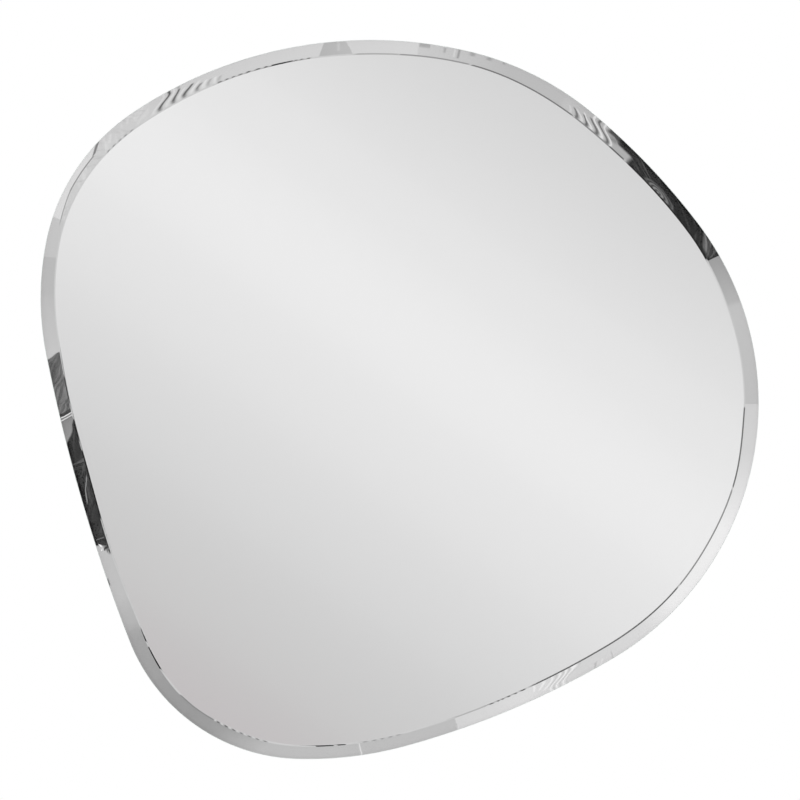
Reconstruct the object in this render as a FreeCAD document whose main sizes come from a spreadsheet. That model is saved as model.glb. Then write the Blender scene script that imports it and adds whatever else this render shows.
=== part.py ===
import FreeCAD, Part
import Sketcher
import math
import os

# Frameless wall mirror of free pebble outline, in millimetres. It faces -Y, hangs with +Z up,
# and its origin is the middle of its box.

sizes = {
    # outline seen from the front, as tangent arcs run counter-clockwise from the upper right:
    # each arc's radius and the angle that it turns through
    "start_direction": 37.2,
    "radius_upper_right": 702.0,
    "turn_upper_right": 13.1,
    "radius_right_shoulder": 315.0,
    "turn_right_shoulder": 26.6,
    "turn_top": 47.1,
    "radius_upper_left": 213.0,
    "turn_upper_left": 45.4,
    "radius_left_shoulder": 303.0,
    "turn_left_shoulder": 21.8,
    "radius_left_side": 1787.0,
    "turn_left_side": 10.0,
    "radius_lower_left": 194.0,
    "turn_lower_left": 67.0,
    "radius_bottom": 387.0,
    "turn_bottom": 17.1,
    "radius_lower_right": 886.0,
    "turn_lower_right": 15.2,
    # glass: plate, ground bevel, the land left at the rim and the small arris on its edges
    "glass_thickness": 5.0,
    "bevel_width": 15.0,
    "edge_land": 2.0,
    "arris": 0.4,
    # layers on the back of the glass
    "silver_thickness": 0.1,
    "silver_inset": 0.5,
    "paint_thickness": 0.1,
    "film_thickness": 0.2,
    "film_inset": 4.0,
    # adhesive layer: foam tape strips with beads between them
    "tape_thickness": 1.5,
    "tape_width": 25.0,
    "inner_tape_length": 480.0,
    "outer_tape_length": 320.0,
    "tape_pitch": 140.0,
    "bead_width": 14.0,
    "bead_length": 400.0,
    # backing board
    "board_thickness": 12.0,
    "board_inset": 32.0,
    "board_edge_round": 1.5,
    # hangers: folded sheet strap with a wire ring in its loop, placed from the point of balance
    "hang_height": 200.0,
    "hang_spacing": 280.0,
    "side_hang_reach": 215.0,
    "side_hang_spacing": 280.0,
    "strap_sheet": 1.0,
    "strap_slit": 0.2,
    "strap_width": 16.0,
    "strap_reach": 34.0,
    "strap_corner": 5.0,
    "ring_wire": 3.0,
    "ring_width": 25.0,
    "ring_arm": 5.0,
    "ring_corner": 3.5,
    "bar_clearance": 0.08,
    # hanger screws
    "first_screw": 9.5,
    "screw_pitch": 17.0,
    "strap_hole": 4.2,
    "screw_core": 2.8,
    "screw_length": 10.0,
    "screw_point": 3.0,
    "screw_head": 6.4,
    "head_height": 2.2,
    "head_rim": 0.8,
    "cross_width": 0.9,
    "cross_reach": 3.4,
    "cross_depth": 1.2,
    "pilot_clearance": 0.05,
    "pilot_spare": 0.6,
    # wall pads
    "wall_pad_width": 20.0,
    "wall_pad_height": 6.0,
    "wall_pad_taper": 8.0,
    "wall_pad_round": 1.2,
    "wall_pad_margin": 30.0,
}

arcs = [
    "upper_right",
    "right_shoulder",
    "top",
    "upper_left",
    "left_shoulder",
    "left_side",
    "lower_left",
    "bottom",
    "lower_right",
    "right",
]
closing_arcs = ["top", "right"]  # their radii follow, because the outline closes

edge_tolerance = 1e-4  # mm by which an edge picked by its place may be off it
volume_tolerance = 0.01  # share by which the volume of a cut may be off

doc = FreeCAD.newDocument("pebble_mirror")
dims = doc.addObject("Spreadsheet::Sheet", "dims")
rows = {}


def write_down(alias, value):
    rows[alias] = len(rows) + 1
    dims.set("A%d" % rows[alias], alias.replace("_", " "))
    dims.set("B%d" % rows[alias], str(value))
    dims.setAlias("B%d" % rows[alias], alias)


for size_name, size in sizes.items():
    write_down(size_name, size)
doc.recompute()

# the stack from the front of the glass to the wall, each layer behind the one before it
layers = [
    ("glass", "dims.glass_thickness"),
    ("silver", "dims.silver_thickness"),
    ("paint", "dims.paint_thickness"),
    ("film", "dims.film_thickness"),
    ("tape", "dims.tape_thickness"),
    ("board", "dims.board_thickness"),
    ("wall_pad", "dims.wall_pad_height"),
]
whole_depth = " + ".join(thickness for _, thickness in layers)
back_of = {}
reached = "-(%s) / 2" % whole_depth
for layer, thickness in layers:
    reached = "%s + %s" % (reached, thickness)
    back_of[layer] = reached

axis_height = "(dims.ring_wire / 2 + dims.bar_clearance + dims.strap_sheet)"
strap_depth = "(2 * dims.strap_sheet + dims.strap_slit)"


def chain(inset):
    """Centre, radius and first and last direction of each arc, moved in by the inset."""
    turns = [sizes.get("turn_" + name) for name in arcs]
    turns[-1] = 360.0 - sum(turns[:-1])
    directions = [math.radians(sizes["start_direction"])]
    for turn in turns:
        directions.append(directions[-1] + math.radians(turn))
    spans = []
    for first, last in zip(directions, directions[1:]):
        spans.append((math.cos(last) - math.cos(first), math.sin(last) - math.sin(first)))
    radii = [sizes.get("radius_" + name) for name in arcs]
    one, two = [arcs.index(name) for name in closing_arcs]
    gap_x = -sum(r * span[0] for r, span in zip(radii, spans) if r)
    gap_z = -sum(r * span[1] for r, span in zip(radii, spans) if r)
    cross = spans[one][0] * spans[two][1] - spans[one][1] * spans[two][0]
    radii[one] = (gap_x * spans[two][1] - gap_z * spans[two][0]) / cross
    radii[two] = (spans[one][0] * gap_z - spans[one][1] * gap_x) / cross
    centres = [FreeCAD.Vector(0, 0, 0)]
    for k in range(1, len(arcs)):
        reach = radii[k - 1] - radii[k]
        step = FreeCAD.Vector(math.cos(directions[k]), math.sin(directions[k]), 0) * reach
        centres.append(centres[-1] + step)
    ends = {}
    for side in (0, 90, 180, 270):
        k = facing(directions, side)
        ends[side] = centres[k] + unit(side) * radii[k]
    middle = FreeCAD.Vector((ends[0].x + ends[180].x) / 2, (ends[90].y + ends[270].y) / 2, 0)
    centres = [centre - middle for centre in centres]
    return centres, [radius - inset for radius in radii], directions


def unit(degrees):
    return FreeCAD.Vector(math.cos(math.radians(degrees)), math.sin(math.radians(degrees)), 0)


def facing(directions, degrees):
    """The arc whose outward direction passes the given one."""
    for k, (first, last) in enumerate(zip(directions, directions[1:])):
        past_first = (math.radians(degrees) - first) % (2 * math.pi)
        if past_first < last - first:
            return k


def bind(sketch, constraint, expression):
    index = sketch.addConstraint(constraint)
    sketch.setExpression("Constraints[%d]" % index, expression)


def value_of(expression):
    return dims.evalExpression(expression)


def new_body(name):
    body = doc.addObject("PartDesign::Body", name)
    body.Label = name
    return body


def new_sketch(body, name, plane="XZ_Plane"):
    sketch = body.newObject("Sketcher::SketchObject", name)
    origin_plane = [item for item in body.Origin.OriginFeatures if item.Role == plane][0]
    sketch.AttachmentSupport = [(origin_plane, "")]
    sketch.MapMode = "FlatFace"
    return sketch


def place(body, x="0", y="0", z="0", quarter_turn=False):
    """Seat a body; the quarter turn lays its local +Z along +X."""
    if quarter_turn:
        body.Placement.Rotation = FreeCAD.Rotation(FreeCAD.Vector(0, 1, 0), 90)
    body.setExpression(".Placement.Base.x", x)
    body.setExpression(".Placement.Base.y", y)
    body.setExpression(".Placement.Base.z", z)


def pebble(body, name, inset):
    """The outline, moved in by an expression, with its box centred on the origin."""
    sketch = new_sketch(body, name)
    inset_now = value_of(inset)
    centres, radii, directions = chain(inset_now)
    count = len(arcs)
    for centre, radius, first, last in zip(centres, radii, directions, directions[1:]):
        circle = Part.Circle(centre, FreeCAD.Vector(0, 0, 1), radius)
        sketch.addGeometry(Part.ArcOfCircle(circle, first, last), False)
    for k in range(count):
        sketch.addConstraint(Sketcher.Constraint("Tangent", k, 2, (k + 1) % count, 1))
    for k, arc in enumerate(arcs):
        if arc not in closing_arcs:
            radius = Sketcher.Constraint("Radius", k, radii[k])
            bind(sketch, radius, "dims.radius_%s - (%s)" % (arc, inset))
        if k < count - 1:
            turn = Sketcher.Constraint("Angle", k, directions[k + 1] - directions[k])
            bind(sketch, turn, "dims.turn_%s" % arc)
    # the first arc's radius line sets how the outline is turned
    start = centres[0] + unit(sizes["start_direction"]) * radii[0]
    line = sketch.addGeometry(Part.LineSegment(centres[0], start), True)
    sketch.addConstraint(Sketcher.Constraint("Coincident", line, 1, 0, 3))
    sketch.addConstraint(Sketcher.Constraint("Coincident", line, 2, 0, 1))
    bind(sketch, Sketcher.Constraint("Angle", line, directions[0]), "dims.start_direction")
    # a box round the outline, centred on the origin
    touched = [facing(directions, side) for side in (0, 90, 180, 270)]
    right, top, left, bottom = [
        centres[k] + unit(side) * radii[k] for k, side in zip(touched, (0, 90, 180, 270))
    ]
    corners = [
        FreeCAD.Vector(right.x, bottom.y, 0),
        FreeCAD.Vector(right.x, top.y, 0),
        FreeCAD.Vector(left.x, top.y, 0),
        FreeCAD.Vector(left.x, bottom.y, 0),
    ]
    sides = []
    for k in range(4):
        edge = Part.LineSegment(corners[k], corners[(k + 1) % 4])
        sides.append(sketch.addGeometry(edge, True))
    for k in range(4):
        level = "Vertical" if k % 2 == 0 else "Horizontal"
        sketch.addConstraint(Sketcher.Constraint(level, sides[k]))
        sketch.addConstraint(Sketcher.Constraint("Coincident", sides[k], 2, sides[(k + 1) % 4], 1))
        sketch.addConstraint(Sketcher.Constraint("Tangent", sides[k], touched[k]))
    sketch.addConstraint(Sketcher.Constraint("Symmetric", sides[0], 1, sides[2], 1, -1, 1))
    return sketch


def slab(name, inset, thickness, back):
    """A plate of the outline, its back face at the given depth."""
    body = new_body(name)
    pad = body.newObject("PartDesign::Pad", name + "_plate")
    pad.Profile = pebble(body, name + "_outline", inset)
    pad.setExpression("Length", thickness)
    place(body, y=back)
    doc.recompute()
    return body, pad


def edges_where(feature, test):
    names = []
    for number, edge in enumerate(feature.Shape.Edges, start=1):
        if test(edge):
            names.append("Edge%d" % number)
    return names


def edges_at_depth(feature, depth):
    """Edges that lie flat at one local Y."""
    def flat(edge):
        box = edge.BoundBox
        off = max(abs(box.YMin - depth), abs(box.YMax - depth))
        return off < edge_tolerance
    return edges_where(feature, flat)


def glass():
    body, plate = slab("glass_pane", "0", "dims.glass_thickness", back_of["glass"])
    bevel = body.newObject("PartDesign::Chamfer", "bevel")
    bevel.Base = (plate, edges_at_depth(plate, -sizes["glass_thickness"]))
    bevel.ChamferType = "Two distances"
    bevel.setExpression("Size", "dims.glass_thickness - dims.edge_land")
    bevel.setExpression("Size2", "dims.bevel_width")
    doc.recompute()
    back_arris = body.newObject("PartDesign::Chamfer", "back_arris")
    back_arris.Base = (bevel, edges_at_depth(bevel, 0))
    back_arris.setExpression("Size", "dims.arris")
    doc.recompute()
    front_arris = body.newObject("PartDesign::Fillet", "front_arris")
    front_arris.Base = (back_arris, edges_at_depth(back_arris, -sizes["edge_land"]))
    front_arris.setExpression("Radius", "dims.arris")
    doc.recompute()
    return body


def layer(name, inset, size, stack_name):
    body, _ = slab(name, inset, size, back_of[stack_name])
    return body


def board():
    body, plate = slab("backing_board", "dims.board_inset", "dims.board_thickness", back_of["board"])
    rim = edges_at_depth(plate, 0) + edges_at_depth(plate, -sizes["board_thickness"])
    rounded = body.newObject("PartDesign::Fillet", "eased_edges")
    rounded.Base = (plate, rim)
    rounded.setExpression("Radius", "dims.board_edge_round")
    doc.recompute()
    sketch = new_sketch(body, "pilot_holes")
    for _, x, z, turned in hangers:
        for number in range(2):
            down = "(dims.first_screw + %d * dims.screw_pitch)" % number
            hole_x = "%s - %s" % (x, down) if turned else x
            hole_z = z if turned else "%s - %s" % (z, down)
            circle_at(sketch, hole_x, hole_z, "dims.screw_core / 2 + dims.pilot_clearance")
    pilots = body.newObject("PartDesign::Pocket", "pilots")
    pilots.Profile = sketch
    pilots.Reversed = True
    depth = "dims.screw_length - %s + dims.pilot_spare" % strap_depth
    pilots.setExpression("Length", depth)
    doc.recompute()
    bored = rounded.Shape.Volume - pilots.Shape.Volume
    radius = value_of("dims.screw_core / 2 + dims.pilot_clearance")
    wanted = 2 * len(hangers) * math.pi * radius ** 2 * value_of(depth)
    off = abs(bored - wanted)
    assert off < volume_tolerance * wanted, "the pilot holes miss the board"
    return body


def circle_at(sketch, x, y, radius):
    """A circle bound to its centre's two distances from the origin and its radius."""
    here = FreeCAD.Vector(value_of(x), value_of(y), 0)
    circle = Part.Circle(here, FreeCAD.Vector(0, 0, 1), value_of(radius))
    number = sketch.addGeometry(circle, False)
    if here.x:
        bind(sketch, Sketcher.Constraint("DistanceX", -1, 1, number, 3, here.x), x)
    else:
        sketch.addConstraint(Sketcher.Constraint("PointOnObject", number, 3, -2))
    if here.y:
        bind(sketch, Sketcher.Constraint("DistanceY", -1, 1, number, 3, here.y), y)
    else:
        sketch.addConstraint(Sketcher.Constraint("PointOnObject", number, 3, -1))
    bind(sketch, Sketcher.Constraint("Radius", number, value_of(radius)), radius)


def tape(number, place_in_row, length):
    strip = doc.addObject("Part::Box", "tape_strip_%d" % number)
    strip.Label = "tape_strip_%d" % number
    strip.setExpression("Length", "dims.tape_width")
    strip.setExpression("Width", "dims.tape_thickness")
    strip.setExpression("Height", length)
    place(
        strip,
        "%s * dims.tape_pitch - dims.tape_width / 2" % place_in_row,
        "%s - dims.tape_thickness" % back_of["tape"],
        "-%s / 2" % length,
    )
    return strip


def bead(number, place_in_row):
    """A bead of adhesive pressed flat, with rounded ends."""
    body = new_body("adhesive_bead_%d" % number)
    sketch = new_sketch(body, "bead_%d_outline" % number)
    radius = value_of("dims.bead_width / 2")
    half = value_of("(dims.bead_length - dims.bead_width) / 2")
    up = FreeCAD.Vector(0, half, 0)
    out = FreeCAD.Vector(radius, 0, 0)
    axis = FreeCAD.Vector(0, 0, 1)
    top = sketch.addGeometry(Part.ArcOfCircle(Part.Circle(up, axis, radius), 0, math.pi), False)
    left = sketch.addGeometry(Part.LineSegment(up - out, FreeCAD.Vector(0, 0, 0) - up - out), False)
    foot = Part.Circle(FreeCAD.Vector(0, 0, 0) - up, axis, radius)
    low = sketch.addGeometry(Part.ArcOfCircle(foot, math.pi, 2 * math.pi), False)
    right = sketch.addGeometry(Part.LineSegment(out - up, up + out), False)
    sketch.addConstraint(Sketcher.Constraint("Tangent", top, 2, left, 1))
    sketch.addConstraint(Sketcher.Constraint("Tangent", left, 2, low, 1))
    sketch.addConstraint(Sketcher.Constraint("Tangent", low, 2, right, 1))
    sketch.addConstraint(Sketcher.Constraint("Tangent", right, 2, top, 1))
    sketch.addConstraint(Sketcher.Constraint("Vertical", left))
    sketch.addConstraint(Sketcher.Constraint("Equal", top, low))
    sketch.addConstraint(Sketcher.Constraint("Symmetric", top, 3, low, 3, -1, 1))
    bind(sketch, Sketcher.Constraint("Radius", top, radius), "dims.bead_width / 2")
    bind(sketch, Sketcher.Constraint("DistanceY", low, 3, top, 3, 2 * half),
         "dims.bead_length - dims.bead_width")
    pad = body.newObject("PartDesign::Pad", "bead_%d_pressed" % number)
    pad.Profile = sketch
    pad.setExpression("Length", "dims.tape_thickness")
    place(body, "%d * dims.tape_pitch" % place_in_row, back_of["tape"])
    return body


def rectangle(sketch, low_x, high_x, low_y, high_y):
    """A rectangle whose four sides are bound to their distances from the origin."""
    x0, x1, y0, y1 = [value_of(side) for side in (low_x, high_x, low_y, high_y)]
    corners = [
        FreeCAD.Vector(x0, y0, 0),
        FreeCAD.Vector(x1, y0, 0),
        FreeCAD.Vector(x1, y1, 0),
        FreeCAD.Vector(x0, y1, 0),
    ]
    lines = []
    for k in range(4):
        lines.append(sketch.addGeometry(Part.LineSegment(corners[k], corners[(k + 1) % 4]), False))
    for k in range(4):
        sketch.addConstraint(
            Sketcher.Constraint("Coincident", lines[k], 2, lines[(k + 1) % 4], 1))
        level = "Horizontal" if k % 2 == 0 else "Vertical"
        sketch.addConstraint(Sketcher.Constraint(level, lines[k]))
    for line, kind, expression in (
            (lines[3], "DistanceX", low_x),
            (lines[1], "DistanceX", high_x),
            (lines[0], "DistanceY", low_y),
            (lines[2], "DistanceY", high_y)):
        now = value_of(expression)
        if now:
            bind(sketch, Sketcher.Constraint(kind, -1, 1, line, 1, now), expression)
        else:
            axis = -2 if kind == "DistanceX" else -1
            sketch.addConstraint(Sketcher.Constraint("PointOnObject", line, 1, axis))


def strap(name, x, z, turned):
    """A sheet folded round the ring's bar and doubled down over itself to the two screws."""
    body = new_body("strap_" + name)
    leaves = new_sketch(body, name + "_leaves_side", "YZ_Plane")
    rectangle(leaves, "0", strap_depth, "-dims.strap_reach", "0")
    plate = body.newObject("PartDesign::Pad", name + "_leaves")
    plate.Profile = leaves
    plate.Midplane = True
    plate.setExpression("Length", "dims.strap_width")
    loop_side = new_sketch(body, name + "_loop_side", "YZ_Plane")
    circle_at(loop_side, axis_height, "0", axis_height)
    loop = body.newObject("PartDesign::Pad", name + "_loop")
    loop.Profile = loop_side
    loop.Midplane = True
    loop.setExpression("Length", "dims.strap_width")
    bore_side = new_sketch(body, name + "_bore_side", "YZ_Plane")
    circle_at(bore_side, axis_height, "0", "dims.ring_wire / 2 + dims.bar_clearance")
    bore = body.newObject("PartDesign::Pocket", name + "_bore")
    bore.Profile = bore_side
    bore.Midplane = True
    bore.Type = "ThroughAll"
    slit_side = new_sketch(body, name + "_slit_side", "YZ_Plane")
    rectangle(slit_side, "dims.strap_sheet", "dims.strap_sheet + dims.strap_slit",
              "-dims.strap_reach", "0")
    slit = body.newObject("PartDesign::Pocket", name + "_slit")
    slit.Profile = slit_side
    slit.Midplane = True
    slit.Type = "ThroughAll"
    holes_face = new_sketch(body, name + "_holes_face")
    for number in range(2):
        down = "-(dims.first_screw + %d * dims.screw_pitch)" % number
        circle_at(holes_face, "0", down, "dims.strap_hole / 2")
    holes = body.newObject("PartDesign::Pocket", name + "_holes")
    holes.Profile = holes_face
    holes.Midplane = True
    holes.Type = "ThroughAll"
    doc.recompute()

    def end_corner(edge):
        box = edge.BoundBox
        off = abs(box.ZMin + sizes["strap_reach"])
        return max(off, box.ZLength, box.XLength) < edge_tolerance

    ends = body.newObject("PartDesign::Fillet", name + "_rounded_end")
    ends.Base = (holes, edges_where(holes, end_corner))
    ends.setExpression("Radius", "dims.strap_corner")
    place(body, x, back_of["board"], z, turned)
    return body


def ring(name, x, z, turned):
    """A wire ring: a straight bar, two arms and a round bow, closed on itself."""
    body = new_body("ring_" + name)
    half = sizes["ring_width"] / 2
    corner = sizes["ring_corner"]
    arm = sizes["ring_arm"]
    axis = FreeCAD.Vector(0, 0, 1)
    path = new_sketch(body, name + "_ring_path")
    points = [
        FreeCAD.Vector(0, 0, 0),
        FreeCAD.Vector(half - corner, 0, 0),
        FreeCAD.Vector(half, corner, 0),
        FreeCAD.Vector(half, arm, 0),
        FreeCAD.Vector(-half, arm, 0),
        FreeCAD.Vector(-half, corner, 0),
        FreeCAD.Vector(corner - half, 0, 0),
    ]
    right_corner = Part.Circle(FreeCAD.Vector(half - corner, corner, 0), axis, corner)
    left_corner = Part.Circle(FreeCAD.Vector(corner - half, corner, 0), axis, corner)
    bow = Part.Circle(FreeCAD.Vector(0, arm, 0), axis, half)
    pieces = [
        Part.LineSegment(points[0], points[1]),
        Part.ArcOfCircle(right_corner, -math.pi / 2, 0),
        Part.LineSegment(points[2], points[3]),
        Part.ArcOfCircle(bow, 0, math.pi),
        Part.LineSegment(points[4], points[5]),
        Part.ArcOfCircle(left_corner, math.pi, 1.5 * math.pi),
        Part.LineSegment(points[6], points[0]),
    ]
    for piece in pieces:
        path.addGeometry(piece, False)
    for k in range(6):
        path.addConstraint(Sketcher.Constraint("Tangent", k, 2, k + 1, 1))
    path.addConstraint(Sketcher.Constraint("Coincident", 6, 2, 0, 1))
    path.addConstraint(Sketcher.Constraint("Coincident", 0, 1, -1, 1))
    path.addConstraint(Sketcher.Constraint("Horizontal", 0))
    path.addConstraint(Sketcher.Constraint("Horizontal", 6))
    path.addConstraint(Sketcher.Constraint("Vertical", 2))
    path.addConstraint(Sketcher.Constraint("Vertical", 4))
    path.addConstraint(Sketcher.Constraint("Equal", 1, 5))
    path.addConstraint(Sketcher.Constraint("PointOnObject", 3, 3, -2))
    bind(path, Sketcher.Constraint("Radius", 1, corner), "dims.ring_corner")
    bind(path, Sketcher.Constraint("Radius", 3, half), "dims.ring_width / 2")
    bind(path, Sketcher.Constraint("DistanceY", -1, 1, 3, 3, arm), "dims.ring_arm")
    wire_end = new_sketch(body, name + "_wire", "YZ_Plane")
    circle_at(wire_end, "0", "0", "dims.ring_wire / 2")
    doc.recompute()
    sweep = body.newObject("PartDesign::AdditivePipe", name + "_ring")
    sweep.Profile = wire_end
    sweep.Spine = (path, ["Edge%d" % (k + 1) for k in range(len(pieces))])
    place(body, x, "%s + %s" % (back_of["board"], axis_height), z, turned)
    return body


def screws(name, x, z, turned):
    """The two pan-head screws of one hanger, each a separate solid."""
    parts = []
    for number in range(2):
        tag = "%s_%d" % (name, number)
        down = "-(dims.first_screw + %d * dims.screw_pitch)" % number
        core = doc.addObject("Part::Cylinder", "core_" + tag)
        core.setExpression("Radius", "dims.screw_core / 2")
        core.setExpression("Height", "dims.screw_length - dims.screw_point")
        core.setExpression(".Placement.Base.z", "-(dims.screw_length - dims.screw_point)")
        point = doc.addObject("Part::Cone", "point_" + tag)
        point.Radius1 = 0
        point.setExpression("Radius2", "dims.screw_core / 2")
        point.setExpression("Height", "dims.screw_point")
        point.setExpression(".Placement.Base.z", "-dims.screw_length")
        rim = doc.addObject("Part::Cylinder", "rim_" + tag)
        rim.setExpression("Radius", "dims.screw_head / 2")
        rim.setExpression("Height", "dims.head_rim")
        crown = doc.addObject("Part::Cone", "crown_" + tag)
        crown.setExpression("Radius1", "dims.screw_head / 2")
        crown.setExpression("Radius2", "dims.screw_head / 2 - (dims.head_height - dims.head_rim)")
        crown.setExpression("Height", "dims.head_height - dims.head_rim")
        crown.setExpression(".Placement.Base.z", "dims.head_rim")
        solid = doc.addObject("Part::MultiFuse", "blank_" + tag)
        solid.Shapes = [core, point, rim, crown]
        slots = []
        for turn, length, width in (
                ("along", "dims.cross_reach", "dims.cross_width"),
                ("across", "dims.cross_width", "dims.cross_reach")):
            slot = doc.addObject("Part::Box", "%s_%s" % (turn, tag))
            slot.setExpression("Length", length)
            slot.setExpression("Width", width)
            slot.setExpression("Height", "dims.cross_depth")
            slot.setExpression(".Placement.Base.x", "-%s / 2" % length)
            slot.setExpression(".Placement.Base.y", "-%s / 2" % width)
            slot.setExpression(".Placement.Base.z", "dims.head_height - dims.cross_depth")
            slots.append(slot)
        cross = doc.addObject("Part::MultiFuse", "cross_" + tag)
        cross.Shapes = slots
        screw = doc.addObject("Part::Cut", "screw_" + tag)
        screw.Base = solid
        screw.Tool = cross
        # the screw's own +Z, out of its head, lies along the mirror's +Y
        screw.Placement.Rotation = FreeCAD.Rotation(FreeCAD.Vector(1, 0, 0), -90)
        screw.setExpression(".Placement.Base.z", down)
        parts.append(screw)
    pair = doc.addObject("Part::Compound", "screws_" + name)
    pair.Label = "screws_" + name
    pair.Links = parts
    place(pair, x, "%s + %s" % (back_of["board"], strap_depth), z, turned)
    return pair


def wall_pad(name, towards):
    """A tapered rubber pad stuck to the board, in from its rim on the side that faces a direction."""
    centres, radii, directions = chain(sizes["board_inset"] + sizes["wall_pad_margin"])
    nearest = facing(directions, towards)
    spot = centres[nearest] + unit(towards) * radii[nearest]
    body = new_body("wall_pad_" + name)
    foot = new_sketch(body, name + "_pad_foot")
    circle_at(foot, "0", "0", "dims.wall_pad_width / 2")
    block = body.newObject("PartDesign::Pad", name + "_pad_block")
    block.Profile = foot
    block.Reversed = True
    block.setExpression("Length", "dims.wall_pad_height")
    block.setExpression("TaperAngle", "-dims.wall_pad_taper")
    doc.recompute()
    rounded = body.newObject("PartDesign::Fillet", name + "_pad_rim")
    rounded.Base = (block, edges_at_depth(block, sizes["wall_pad_height"]))
    rounded.setExpression("Radius", "dims.wall_pad_round")
    place(body, "%.3f" % spot.x, back_of["board"], "%.3f" % spot.y)
    return body


pane = glass()
balance = pane.Shape.CenterOfGravity
write_down("balance_across", balance.x)
write_down("balance_up", balance.z)
doc.recompute()

# each hanger's bar: its name, place and whether it is laid a quarter turn over, for hanging the
# mirror with its right side up
above = "dims.balance_up + dims.hang_height"
aside = "dims.balance_across + dims.side_hang_reach"
hangers = [
    ("top_left", "dims.balance_across - dims.hang_spacing / 2", above, False),
    ("top_right", "dims.balance_across + dims.hang_spacing / 2", above, False),
    ("side_upper", aside, "dims.balance_up + dims.side_hang_spacing / 2", True),
    ("side_lower", aside, "dims.balance_up - dims.side_hang_spacing / 2", True),
]

nodes = [
    pane,
    layer("silver_coat", "dims.silver_inset", "dims.silver_thickness", "silver"),
    layer("backing_paint", "dims.silver_inset", "dims.paint_thickness", "paint"),
    layer("safety_film", "dims.film_inset", "dims.film_thickness", "film"),
    board(),
]
for number, (spot, length) in enumerate(
        (("-1.5", "dims.outer_tape_length"), ("-0.5", "dims.inner_tape_length"),
         ("0.5", "dims.inner_tape_length"), ("1.5", "dims.outer_tape_length")), start=1):
    nodes.append(tape(number, spot, length))
for number, spot in enumerate((-1, 0, 1), start=1):
    nodes.append(bead(number, spot))
for hanger in hangers:
    nodes.append(strap(*hanger))
    nodes.append(ring(*hanger))
    nodes.append(screws(*hanger))
for corner, towards in (
        ("top_left", 135), ("top_right", 45), ("bottom_left", 225), ("bottom_right", 315)):
    nodes.append(wall_pad(corner, towards))
doc.recompute()

for item in doc.Objects:
    assert "Invalid" not in item.State and "Error" not in item.State, item.Name
    if item.TypeId == "Sketcher::SketchObject":
        assert item.solve() == 0, item.Name
for node in nodes:
    assert not node.Shape.isNull() and node.Shape.isValid(), node.Label
    assert node.Shape.Solids, node.Label

os.makedirs("parts", exist_ok=True)
for node in nodes:
    node.Shape.exportStep("parts/%s.step" % node.Label)
    print("%-20s %d solid, %.1f mm3" % (node.Label, len(node.Shape.Solids), node.Shape.Volume))
whole = Part.makeCompound([node.Shape for node in nodes]).optimalBoundingBox(False, False)
print("box %.2f x %.2f x %.2f mm" % (whole.XLength, whole.YLength, whole.ZLength))
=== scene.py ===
import bpy
import math
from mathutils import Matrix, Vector


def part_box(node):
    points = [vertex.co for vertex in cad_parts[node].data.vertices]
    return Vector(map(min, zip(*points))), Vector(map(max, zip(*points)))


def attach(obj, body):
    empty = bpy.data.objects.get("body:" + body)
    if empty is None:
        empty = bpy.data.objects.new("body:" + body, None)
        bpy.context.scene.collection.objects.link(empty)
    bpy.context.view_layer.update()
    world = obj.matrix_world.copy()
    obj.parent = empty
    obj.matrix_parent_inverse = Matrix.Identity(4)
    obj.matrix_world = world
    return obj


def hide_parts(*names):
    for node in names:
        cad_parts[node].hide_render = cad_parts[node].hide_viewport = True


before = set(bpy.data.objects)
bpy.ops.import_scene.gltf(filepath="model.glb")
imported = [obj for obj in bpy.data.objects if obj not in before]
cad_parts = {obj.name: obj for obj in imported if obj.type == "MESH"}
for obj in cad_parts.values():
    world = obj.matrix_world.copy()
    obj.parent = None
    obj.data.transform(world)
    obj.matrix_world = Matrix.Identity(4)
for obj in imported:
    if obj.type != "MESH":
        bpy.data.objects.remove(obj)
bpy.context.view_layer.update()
paneLow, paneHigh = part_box("glass_pane")
mm = 0.001
print("frame loaded with", len(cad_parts), "nodes")

viewing = {
    "distance": 40.0,  # m from the middle of the mirror, far enough to see it square on
    "across": 0.0004,  # m that the camera stands to the right of the middle, and above it
    "height": -0.0005,
    "frameWidth": 0.8359,  # m of the picture at the front of the glass
    "sensor": 36.0,
    "farEnd": 200.0,
}
eyeDistance = viewing["distance"] + paneLow.y


# the outline of the glass: tangent arcs, counter-clockwise from the upper right
outline = {
    "startDirection": 37.2,
    "arcs": [  # radius in mm and turn in degrees; what is None closes the outline
        [702.0, 13.1],  # upper right
        [315.0, 26.6],  # right shoulder
        [None, 47.1],  # top
        [213.0, 45.4],  # upper left
        [303.0, 21.8],  # left shoulder
        [1787.0, 10.0],  # left side
        [194.0, 67.0],  # lower left
        [387.0, 17.1],  # bottom
        [886.0, 15.2],  # lower right
        [None, None],  # right side
    ],
    "steps": 1560,  # stations that the pane is built on
}


def compass(angle):
    return Vector((math.cos(angle), math.sin(angle)))


def onArcs(arcs, angle):
    for arc in arcs:
        past = (angle - arc["first"]) % (2 * math.pi)
        if past <= arc["last"] - arc["first"]:
            return arc["centre"] + compass(angle) * arc["radius"]


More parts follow.
